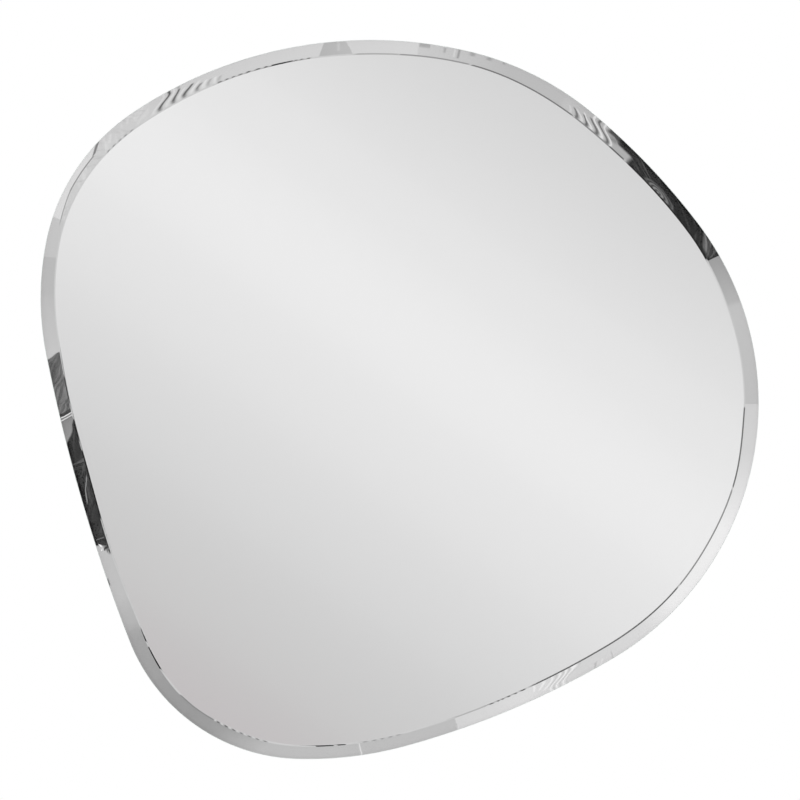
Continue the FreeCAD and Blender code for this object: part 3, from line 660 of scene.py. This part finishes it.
def buildSector(tree, groups, turn, reach, cards, low, high):
    def inside(rows):
        return [row for row in rows if low <= middleOf(row["from"]) < high]

    tone = None
    for card, after in zip(cards, cards[1:] + [{"start": 360.0, "at": 360.0}]):
        if after["at"] <= low or card["at"] >= high:
            continue
        tone = useGroup(tree, groups["card"], {
            "Below": card["first"] if tone is None else tone, "Turn": turn, "Reach": reach,
            "Start": card["start"], "Lean": card["lean"], "Soft": card["soft"],
            "Width": after["start"] - card["start"], "First": card["first"], "Last": card["last"]})["Tone"]
    for row in inside(studio["folds"]):
        place = patchOf(tree, groups, turn, reach, row)
        tone = useGroup(tree, groups["folds"], {
            "Below": tone, "Along": place["Along"], "Mask": place["Mask"], "Reach": reach,
            "Count": float(row["count"]), "Drift": row["drift"], "Seed": row["seed"],
            "Light": glow(row["light"]), "Low": row["low"], "High": row["high"]})["Tone"]
    for row in [row for row in studio["swirls"] if low <= row["at"] < high]:
        start = studioTurn(row["at"] - row["width"], row["reach"])
        end = studioTurn(row["at"] + row["width"], row["reach"])
        tone = useGroup(tree, groups["swirl"], {
            "Below": tone, "Turn": turn, "Reach": reach, "At": (start + end) / 2, "AtReach": row["reach"],
            "Width": (end - start) / 2, "Height": row["height"], "Rings": row["rings"],
            "Light": glow(row["light"])})["Tone"]
    for row in inside(studio["patches"]):
        place = patchOf(tree, groups, turn, reach, row)
        tone = blendValue(tree, place["Mask"], tone, glow(row["tone"]))
    bent = ease(tree, reach, studio["bendFrom"], studio["bendTo"], -1.0, 1.0)
    for rows, across, taper in ((studio["stripes"], bent, studio["taper"]), (studio["lines"], reach, 1.0)):
        for inner, outer, width, level, first, last in rows:
            if not low <= (inner + outer) / 2 < high:
                continue
            half = width / 2
            place = patchOf(tree, groups, turn, across, {
                "from": (inner - half, outer - half * taper), "to": (inner + half, outer + half * taper),
                "inner": first, "outer": last, "soft": studio["lineSoft"]})
            tone = blendValue(tree, place["Mask"], tone, glow(level))
    return tone


# a place in the arris, taken where it is steepest and at half of that
def arrisEdge(rim):
    spot, normal = rimStation(rim)
    seen = (spot - normal * easeRound(pane["widths"], rim % 360) * mm) / eyeDistance
    seen -= normal * bevelThrow(pane["slope"] * (1 - pane["crown"]) / 2)
    half = (math.degrees(math.atan2(seen.y, seen.x)) - studio["cut"]) % 360
    full = studioTurn(rim, -1.0)
    halfReach = (seen.length - middleRadius) / halfRing
    lean = (full - half) / (-1.0 - halfReach)
    return full + lean, lean


def buildArrisRing(tree, groups, turn, reach):
    plain = glow(studio["arrisTone"])
    tone = plain
    for first, last, level, dots in studio["arris"]:
        start, startLean = arrisEdge(first)
        end, endLean = arrisEdge(last)
        place = useGroup(tree, groups["patch"], {
            "Turn": turn, "Reach": reach, "Start": start, "StartLean": startLean, "End": end,
            "EndLean": endLean, "Soft": studio["arrisSoft"], "Inner": -20.0})  # no inner end
        if dots:
            tone = useGroup(tree, groups["dots"], {
                "Below": tone, "Along": place["Along"], "Mask": place["Mask"], "Count": float(dots),
                "Share": studio["dotShare"], "Sharp": studio["dotSharp"], "Light": plain,
                "Dark": glow(level)})["Tone"]
        else:
            tone = blendValue(tree, place["Mask"], tone, glow(level))
    return tone


def rampOf(tree, value, stops, interpolation):
    node = addNode(tree, "ValToRGB", {"Fac": value})
    ramp = node.color_ramp
    ramp.interpolation = interpolation
    for k, (place, level) in enumerate(stops):
        stop = ramp.elements[k] if k < 2 else ramp.elements.new(place)
        stop.position = place
        shade = level if isinstance(level, tuple) else (level, level, level)
        stop.color = (*shade, 1.0)
    return node.outputs["Color"]


def buildStudio():
    groups = {"card": makeCard(), "patch": makePatch(), "dots": makeDots(), "folds": makeFolds(),
              "swirl": makeSwirl()}
    world = bpy.data.worlds.new("studio")
    bpy.context.scene.world = world
    world.use_nodes = True
    world.cycles.sampling_method = "NONE"  # what isn't a mirror gets even light from it
    tree = world.node_tree
    tree.nodes.clear()
    direction = addNode(tree, "TexCoord").outputs["Generated"]
    front = useGroup(tree, makeFrontDirection(), {"Direction": direction, "Cut": studio["cut"]})
    reach = maths(tree, "DIVIDE", minus(tree, front["Radius"], middleRadius), halfRing)
    cards = placeCards()
    ring = None
    for low, high in zip(studio["sectors"], studio["sectors"][1:] + [360.0]):
        tone = buildSector(tree, groups, front["Turn"], reach, cards, low, high)
        light = addNode(tree, "Background", {"Color": tone}).outputs[0]
        if ring is None:
            ring = light
        else:
            past = maths(tree, "GREATER_THAN", front["Turn"], studioTurn(low, 0.0))
            ring = addNode(tree, "MixShader", {0: past, 1: ring, 2: light}).outputs[0]
    arrisTone = buildArrisRing(tree, groups, front["Turn"], reach)

    lean = math.radians(studio["backdropLean"])
    scale = eyeDistance / studio["backdropHalf"]
    lift = times(tree, front["Up"], math.cos(lean) * scale)
    slide = timesPlus(tree, front["Across"], math.sin(lean) * scale, lift)
    stops = []
    for place, tone in studio["backdrop"]:
        level = tuple(glow(part) for part in tone) if isinstance(tone, tuple) else glow(tone)
        stops.append(((place + 1) / 2, level))
    backdrop = rampOf(tree, timesPlus(tree, slide, 0.5, 0.5), stops, "CARDINAL")

    split = addNode(tree, "SeparateXYZ", {"Vector": direction}).outputs
    sky = rampOf(tree, timesPlus(tree, split["Z"], 0.5, 0.5), studio["skyTones"], "EASE")
    behind = studio["behind"]
    softAcross, softUp = studio["behindSoft"]
    for card in studio["behindCards"]:
        place = useGroup(tree, groups["patch"], {
            "Turn": split["X"], "Reach": split["Z"], "Start": card["left"], "End": card["right"],
            "Soft": softAcross, "Inner": card["low"], "Outer": card["high"], "ReachSoft": softUp})
        behind = blendValue(tree, place["Mask"], behind, card["tone"])
    sky = mixColour(tree, ease(tree, split["Y"], studio["behindFrom"], studio["behindTo"]), sky, behind)
    near = ease(tree, front["Radius"], studio["farTo"], studio["farFrom"])
    dimmed = mixColour(tree, near, sky, (studio["farDark"],) * 3 + (1.0,))

    # from the far room inward to the backdrop, then what lights the rest and what the camera sees
    edge = outerRadius + studio["ringEdge"]
    room = addNode(tree, "Background", {"Color": dimmed}).outputs[0]
    inRing = ease(tree, front["Radius"], edge * studio["edgeFade"], edge)
    shown = addNode(tree, "MixShader", {0: inRing, 1: room, 2: ring}).outputs[0]
    gap = studio["ringGap"]
    flat = studio["flatEdge"]
    paths = addNode(tree, "LightPath").outputs
    layers = [
        (ease(tree, front["Radius"], innerRadius - gap, innerRadius - gap * 2), arrisTone),
        (ease(tree, front["Radius"], flat * studio["edgeFade"], flat), backdrop),
        (paths["Is Diffuse Ray"], (studio["ambient"],) * 3 + (1.0,)),
        (paths["Is Camera Ray"], (1.0, 1.0, 1.0, 1.0)),
    ]
    for mask, colour in layers:
        light = addNode(tree, "Background", {"Color": colour}).outputs[0]
        shown = addNode(tree, "MixShader", {0: mask, 1: shown, 2: light}).outputs[0]
    ending = tree.nodes.new("ShaderNodeOutputWorld")
    feed(tree, ending.inputs["Surface"], shown)


buildStudio()
print("studio built")


# effects that several finishes share
grain = {"detail": 4.0, "low": 0.3, "high": 0.7}  # noise at a finish's least and greatest roughness


# its stretch has to be given, because a group's vectors start at nought
def makeGrain():
    tree, given, made = newGroup("fineGrain", {
        "Place": (0.0, 0.0, 0.0), "Stretch": (0.0, 0.0, 0.0), "Scale": 500.0, "Low": 0.4, "High": 0.6}, {
        "Height": "Float", "Roughness": "Float"})
    stretched = addNode(tree, "VectorMath", {0: given["Place"], 1: given["Stretch"]}, operation="MULTIPLY")
    noise = addNode(tree, "TexNoise", {
        "Vector": stretched.outputs[0], "Scale": given["Scale"], "Detail": grain["detail"]}).outputs["Fac"]
    feed(tree, made["Height"], noise)
    gloss = ease(tree, noise, grain["low"], grain["high"], given["Low"], given["High"])
    feed(tree, made["Roughness"], gloss)
    return tree


drift = {"detail": 5.0, "low": 0.32, "high": 0.68}


def makeDrift():
    tree, given, made = newGroup("colourDrift", {
        "Place": (0.0, 0.0, 0.0), "Scale": 20.0, "First": (1.0, 1.0, 1.0, 1.0),
        "Second": (0.5, 0.5, 0.5, 1.0)}, {"Color": "Color", "Mask": "Float"})
    noise = addNode(tree, "TexNoise", {
        "Vector": given["Place"], "Scale": given["Scale"], "Detail": drift["detail"]})
    mask = ease(tree, noise.outputs["Fac"], drift["low"], drift["high"])
    feed(tree, made["Color"], mixColour(tree, mask, given["First"], given["Second"]))
    feed(tree, made["Mask"], mask)
    return tree


wear = {"samples": 6, "edgeLow": 0.01, "edgeHigh": 0.12, "detail": 6.0, "low": 0.45, "high": 0.6}


def makeEdgeWear():
    tree, given, made = newGroup("edgeWear", {
        "Place": (0.0, 0.0, 0.0), "Radius": 0.0006, "Scale": 300.0, "Amount": 0.5}, {"Mask": "Float"})
    rounded = addNode(tree, "Bevel", {"Radius": given["Radius"]}, samples=wear["samples"]).outputs[0]
    plain = addNode(tree, "NewGeometry").outputs["Normal"]
    same = addNode(tree, "VectorMath", {0: rounded, 1: plain}, operation="DOT_PRODUCT").outputs["Value"]
    edge = ease(tree, minus(tree, 1.0, same), wear["edgeLow"], wear["edgeHigh"])
    noise = addNode(tree, "TexNoise", {
        "Vector": given["Place"], "Scale": given["Scale"], "Detail": wear["detail"]}).outputs["Fac"]
    more = maths(tree, "ADD", noise, minus(tree, given["Amount"], 0.5))
    broken = ease(tree, more, wear["low"], wear["high"])
    feed(tree, made["Mask"], times(tree, edge, broken))
    return tree


dust = {
    "scale": 90.0,
    "detail": 6.0,
    "low": 0.35,
    "high": 0.7,
    "least": 0.25,
    "under": -0.1,  # height of the normal where dust starts to lie, and where it lies fully
    "upper": 0.9,
}


def makeDust():
    tree, given, made = newGroup("settledDust", {
        "Place": (0.0, 0.0, 0.0), "Amount": 0.3}, {"Mask": "Float"})
    normal = addNode(tree, "NewGeometry").outputs["Normal"]
    facing = addNode(tree, "SeparateXYZ", {"Vector": normal}).outputs["Z"]
    upward = ease(tree, facing, dust["under"], dust["upper"])
    noise = addNode(tree, "TexNoise", {
        "Vector": given["Place"], "Scale": dust["scale"], "Detail": dust["detail"]}).outputs["Fac"]
    patchy = ease(tree, noise, dust["low"], dust["high"], dust["least"], 1.0)
    feed(tree, made["Mask"], times(tree, times(tree, upward, patchy), given["Amount"]))
    return tree


effects = {"grain": makeGrain(), "drift": makeDrift(), "wear": makeEdgeWear(), "dust": makeDust()}


def newFinish(name, roughness=0.5):  # a grain drives the roughness where none is given
    material = bpy.data.materials.new(name)
    material.use_nodes = True
    tree = material.node_tree
    shader = tree.nodes["Principled BSDF"]
    shader.inputs["Roughness"].default_value = roughness
    place = addNode(tree, "TexCoord").outputs["Object"]
    return material, tree, shader, place


def addBump(tree, shader, height, distance):
    bump = addNode(tree, "Bump", {"Height": height, "Distance": distance, "Strength": 1.0})
    feed(tree, shader.inputs["Normal"], bump.outputs[0])


# two colours of a finish that drift into each other
def driftOf(tree, place, spec):
    return useGroup(tree, effects["drift"], {
        "Place": place, "Scale": spec["patches"], "First": spec["first"], "Second": spec["second"]})


# a grain in the gloss of a finish, which also gives its height
def grainOf(tree, place, spec):
    return useGroup(tree, effects["grain"], {
        "Place": place, "Stretch": spec["stretch"], "Scale": spec["grain"], "Low": spec["low"],
        "High": spec["high"]})


def dustOn(tree, place, spec, colour):
    settled = useGroup(tree, effects["dust"], {"Place": place, "Amount": spec["dust"]})
    return mixColour(tree, settled["Mask"], colour, spec["dustColour"])


def wearOf(tree, place, spec):
    return useGroup(tree, effects["wear"], {
        "Place": place, "Radius": spec["wearRadius"], "Scale": spec["wearScale"],
        "Amount": spec["wearAmount"]})["Mask"]


def dress(material, *starts):
    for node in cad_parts:
        if node.startswith(starts):
            for slot in bpy.data.objects[node].material_slots:
                slot.material = material


glass = {"tint": (0.80, 0.94, 0.88, 1.0), "density": 6.0, "roughness": 0.002}


def addGlassTint(tree):
    absorb = addNode(tree, "VolumeAbsorption", {"Color": glass["tint"], "Density": glass["density"]})
    feed(tree, tree.nodes["Material Output"].inputs["Volume"], absorb.outputs[0])


def makeGlass():
    material, tree, shader, place = newFinish("bevelledGlass", glass["roughness"])
    shader.inputs["Base Color"].default_value = (1.0, 1.0, 1.0, 1.0)
    shader.inputs["Transmission Weight"].default_value = 1.0
    shader.inputs["IOR"].default_value = pane["glassIndex"]
    addGlassTint(tree)
    return material


groundEdge = {
    "first": (0.72, 0.79, 0.76, 1.0),
    "second": (0.83, 0.88, 0.86, 1.0),
    "patches": 160.0,
    "stretch": (1.0, 5.0, 1.0),
    "grain": 1100.0,
    "low": 0.34,
    "high": 0.56,
    "bump": 0.00003,
    "clear": 0.5,  # share of the light that gets through
}


# a finish with a grain, between the gloss that its low and high give
def makeGrained(name, spec):
    material, tree, shader, place = newFinish(name)
    grained = grainOf(tree, place, spec)
    feed(tree, shader.inputs["Base Color"], driftOf(tree, place, spec)["Color"])
    feed(tree, shader.inputs["Roughness"], grained["Roughness"])
    addBump(tree, shader, grained["Height"], spec["bump"])
    return material


def makeGroundRim():
    material = makeGrained("groundRim", groundEdge)
    shader = material.node_tree.nodes["Principled BSDF"]
    shader.inputs["Transmission Weight"].default_value = groundEdge["clear"]
    shader.inputs["IOR"].default_value = pane["glassIndex"]
    addGlassTint(material.node_tree)
    return material


silvering = {"first": (0.955, 0.946, 0.951, 1.0), "second": (0.961, 0.952, 0.957, 1.0), "patches": 3.0}


def makeSilver():
    material, tree, shader, place = newFinish("silvering", 0.0)
    feed(tree, shader.inputs["Base Color"], driftOf(tree, place, silvering)["Color"])
    shader.inputs["Metallic"].default_value = 1.0
    return material


backing = {
    "first": (0.095, 0.105, 0.112, 1.0),
    "second": (0.115, 0.124, 0.13, 1.0),
    "patches": 14.0,
    "roughness": 0.525,
    "dust": 0.25,
    "dustColour": (0.42, 0.41, 0.39, 1.0),
}


def makeDustyCoat(name, spec):
    material, tree, shader, place = newFinish(name, spec["roughness"])
    colour = driftOf(tree, place, spec)["Color"]
    feed(tree, shader.inputs["Base Color"], dustOn(tree, place, spec, colour))
    return material


film = {
    "first": (0.36, 0.39, 0.41, 1.0),
    "second": (0.42, 0.45, 0.46, 1.0),
    "patches": 9.0,
    "roughness": 0.41,
    "pitch": 4.0 * mm,
    "thread": 0.16,  # half width of a thread at its foot and at its full height, as shares of the pitch
    "threadFull": 0.064,
    "threadShows": 0.45,
    "threadColour": (0.62, 0.65, 0.66, 1.0),
    "threadRise": 0.05 * mm,
    "ripples": 22.0,
    "ripple": 0.6 * mm,
    "dust": 0.2,
    "dustColour": (0.55, 0.53, 0.50, 1.0),
}


def makeSafetyFilm():
    material, tree, shader, place = newFinish("safetyFilm", film["roughness"])
    split = addNode(tree, "SeparateXYZ", {"Vector": place}).outputs
    lines = []
    for axis in ("X", "Z"):  # woven scrim in the vinyl
        cell = maths(tree, "FRACT", maths(tree, "DIVIDE", split[axis], film["pitch"]))
        away = maths(tree, "ABSOLUTE", minus(tree, cell, 0.5))
        lines.append(ease(tree, away, film["thread"], film["threadFull"]))
    threads = maths(tree, "MAXIMUM", *lines)
    plain = driftOf(tree, place, film)["Color"]
    woven = mixColour(tree, times(tree, threads, film["threadShows"]), plain, film["threadColour"])
    feed(tree, shader.inputs["Base Color"], dustOn(tree, place, film, woven))
    ripple = addNode(tree, "TexNoise", {"Vector": place, "Scale": film["ripples"], "Detail": 2.0})
    rise = times(tree, threads, film["threadRise"])
    addBump(tree, shader, timesPlus(tree, ripple.outputs["Fac"], film["ripple"], rise), 1.0)
    return material


tape = {
    "first": (0.80, 0.80, 0.77, 1.0),
    "second": (0.88, 0.88, 0.86, 1.0),
    "patches": 60.0,
    "roughness": 0.825,
    "cells": 2600.0,
    "cellEdge": 0.6,
    # how far the painted shade darkens the colour in the middle of each cell's pit
    "paintedPitShade": 0.75,
    "bump": 0.00012,
}


def makeFoamTape():
    material, tree, shader, place = newFinish("foamTape", tape["roughness"])
    cells = addNode(tree, "TexVoronoi", {"Vector": place, "Scale": tape["cells"]}).outputs["Distance"]
    # painted shade: the colour darkens towards the middle of each cell, where the bump sinks into a pit
    shade = ease(tree, cells, 0.0, tape["cellEdge"], tape["paintedPitShade"], 1.0)
    colour = driftOf(tree, place, tape)["Color"]
    feed(tree, shader.inputs["Base Color"], mixColour(tree, 1.0, colour, shade, "MULTIPLY"))
    addBump(tree, shader, cells, tape["bump"])
    return material


adhesive = {
    "first": (0.60, 0.55, 0.42, 1.0),
    "second": (0.70, 0.66, 0.54, 1.0),
    "patches": 70.0,
    "stretch": (1.0, 1.0, 0.25),
    "grain": 260.0,
    "low": 0.3,
    "high": 0.5,
    "bump": 0.0003,
}

board = {
    "paint": {"first": (0.016, 0.016, 0.017, 1.0), "second": (0.028, 0.027, 0.027, 1.0), "patches": 11.0},
    "fibre": {"first": (0.30, 0.19, 0.10, 1.0), "second": (0.42, 0.28, 0.16, 1.0), "patches": 700.0},
    "roughness": 0.61,
    "wornRoughness": 0.9,
    "wearRadius": 0.0009,
    "wearScale": 160.0,
    "wearAmount": 0.36,
    "wearDepth": -0.8,
    "bump": 0.00016,
    "dust": 0.3,
    "dustColour": (0.34, 0.31, 0.28, 1.0),
}


def makePaintedBoard():
    material, tree, shader, place = newFinish("paintedBoard", board["roughness"])
    paint, fibre = [driftOf(tree, place, board[layer])["Color"] for layer in ("paint", "fibre")]
    worn = wearOf(tree, place, board)
    colour = mixColour(tree, worn, paint, fibre)
    feed(tree, shader.inputs["Base Color"], dustOn(tree, place, board, colour))
    dull = maths(tree, "MAXIMUM", times(tree, worn, board["wornRoughness"]), board["roughness"])
    feed(tree, shader.inputs["Roughness"], dull)
    addBump(tree, shader, times(tree, worn, board["wearDepth"]), board["bump"])
    return material


plating = {
    "strap": {"grain": 260.0, "stretch": (0.25, 1.0, 1.0), "low": 0.24, "high": 0.42, "bump": 0.00003},
    "wire": {"grain": 420.0, "stretch": (1.0, 1.0, 1.0), "low": 0.18, "high": 0.34, "bump": 0.00002},
    "screw": {"grain": 700.0, "stretch": (1.0, 1.0, 1.0), "low": 0.2, "high": 0.36, "bump": 0.00002},
    "first": (0.74, 0.75, 0.77, 1.0),
    "second": (0.58, 0.60, 0.62, 1.0),
    "patches": 180.0,
    "dulling": 0.08,
    "wearRadius": 0.0003,
    "wearScale": 500.0,
    "wearAmount": 0.5,
    "worn": (0.86, 0.86, 0.85, 1.0),
}


def makePlating(name, spec):
    material, tree, shader, place = newFinish(name)
    drifted = driftOf(tree, place, plating)
    grained = grainOf(tree, place, spec)
    colour = mixColour(tree, wearOf(tree, place, plating), drifted["Color"], plating["worn"])
    gloss = timesPlus(tree, drifted["Mask"], plating["dulling"], grained["Roughness"])
    feed(tree, shader.inputs["Base Color"], colour)
    feed(tree, shader.inputs["Roughness"], gloss)
    shader.inputs["Metallic"].default_value = 1.0
    addBump(tree, shader, grained["Height"], spec["bump"])
    return material


rubber = {
    "first": (0.020, 0.020, 0.021, 1.0),
    "second": (0.034, 0.034, 0.034, 1.0),
    "patches": 120.0,
    "roughness": 0.7,
    "dust": 0.35,
    "dustColour": (0.30, 0.29, 0.27, 1.0),
}


silver = makeSilver()
for material in (makeGlass(), silver, makeGroundRim()):  # polished, silvered, ground
    glassPiece.data.materials.append(material)
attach(glassPiece, "mirror")
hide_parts("glass_pane")
dress(silver, "silver_coat")
dress(makeDustyCoat("backingPaint", backing), "backing_paint")
dress(makeSafetyFilm(), "safety_film")
dress(makeFoamTape(), "tape_strip")
dress(makeGrained("mirrorAdhesive", adhesive), "adhesive_bead")
dress(makePaintedBoard(), "backing_board")
dress(makePlating("platedStrap", plating["strap"]), "strap_")
dress(makePlating("platedWire", plating["wire"]), "ring_")
dress(makePlating("platedScrew", plating["screw"]), "screws_")
dress(makeDustyCoat("rubberPad", rubber), "wall_pad")
print("finishes made")


# pale floor, well below the mirror, whose rim fades into the white round it
floor = {
    "radius": 15.0,
    "height": -1.2,
    "rings": 24,
    "spokes": 96,
    "first": (0.86, 0.86, 0.85, 1.0),
    "second": (0.83, 0.83, 0.825, 1.0),
    "patches": 1.5,
    "roughness": 0.775,
    "fadeFrom": 0.25,  # shares of the radius between which it fades
    "fadeTo": 0.95,
}


def buildFloor():
    spots = [(0.0, 0.0, floor["height"])]
    faces = []
    spokes = floor["spokes"]
    for ring in range(1, floor["rings"] + 1):
        far = floor["radius"] * ring / floor["rings"]
        for k in range(spokes):
            side = compass(2 * math.pi * k / spokes) * far
            spots.append((side.x, side.y, floor["height"]))
    for k in range(spokes):
        faces.append([0, 1 + k, 1 + (k + 1) % spokes])
        for ring in range(floor["rings"] - 1):
            here, out = 1 + ring * spokes, 1 + (ring + 1) * spokes
            faces.append([here + k, out + k, out + (k + 1) % spokes, here + (k + 1) % spokes])
    mesh = bpy.data.meshes.new("floor")
    mesh.from_pydata(spots, [], faces)
    made = bpy.data.objects.new("floor", mesh)
    bpy.context.scene.collection.objects.link(made)
    material, tree, shader, place = newFinish("paleFloor", floor["roughness"])
    feed(tree, shader.inputs["Base Color"], driftOf(tree, place, floor)["Color"])
    far = addNode(tree, "VectorMath", {0: place}, operation="LENGTH").outputs["Value"]
    fade = ease(tree, far, floor["radius"] * floor["fadeTo"], floor["radius"] * floor["fadeFrom"])
    under = addNode(tree, "NewGeometry").outputs["Backfacing"]  # clear from below
    feed(tree, shader.inputs["Alpha"], times(tree, fade, minus(tree, 1.0, under)))
    mesh.materials.append(material)
    made.visible_glossy = False
    made.visible_transmission = False


buildFloor()


# soft lamps, which the mirror doesn't show
lamps = [
    {"name": "keyLamp", "at": (-3.0, -4.5, 3.2), "size": 3.0, "watts": 260.0},
    {"name": "fillLamp", "at": (3.5, -4.0, 1.0), "size": 3.0, "watts": 110.0},
    {"name": "backKeyLamp", "at": (2.6, 3.6, 2.8), "size": 1.8, "watts": 170.0},
    {"name": "backFillLamp", "at": (-3.2, 3.0, 0.6), "size": 2.4, "watts": 70.0},
]


def buildLamps():
    for lamp in lamps:
        data = bpy.data.lights.new(lamp["name"], "AREA")
        data.shape = "SQUARE"
        data.size = lamp["size"]
        data.energy = lamp["watts"]
        made = bpy.data.objects.new(lamp["name"], data)
        made.location = lamp["at"]
        made.rotation_euler = Vector(lamp["at"]).to_track_quat("Z", "Y").to_euler()
        made.visible_glossy = False
        made.visible_transmission = False
        made.visible_camera = False
        bpy.context.scene.collection.objects.link(made)


def placeCamera():
    data = bpy.data.cameras.new("camera")
    data.sensor_width = viewing["sensor"]
    data.lens = viewing["sensor"] * eyeDistance / viewing["frameWidth"]
    data.clip_end = viewing["farEnd"]
    made = bpy.data.objects.new("camera", data)
    made.location = (viewing["across"], -viewing["distance"], viewing["height"])
    made.rotation_euler = (math.pi / 2, 0.0, 0.0)
    bpy.context.scene.collection.objects.link(made)
    bpy.context.scene.camera = made


buildLamps()
placeCamera()
bpy.context.scene.view_settings.view_transform = "Standard"
print("floor, lamps and camera placed")
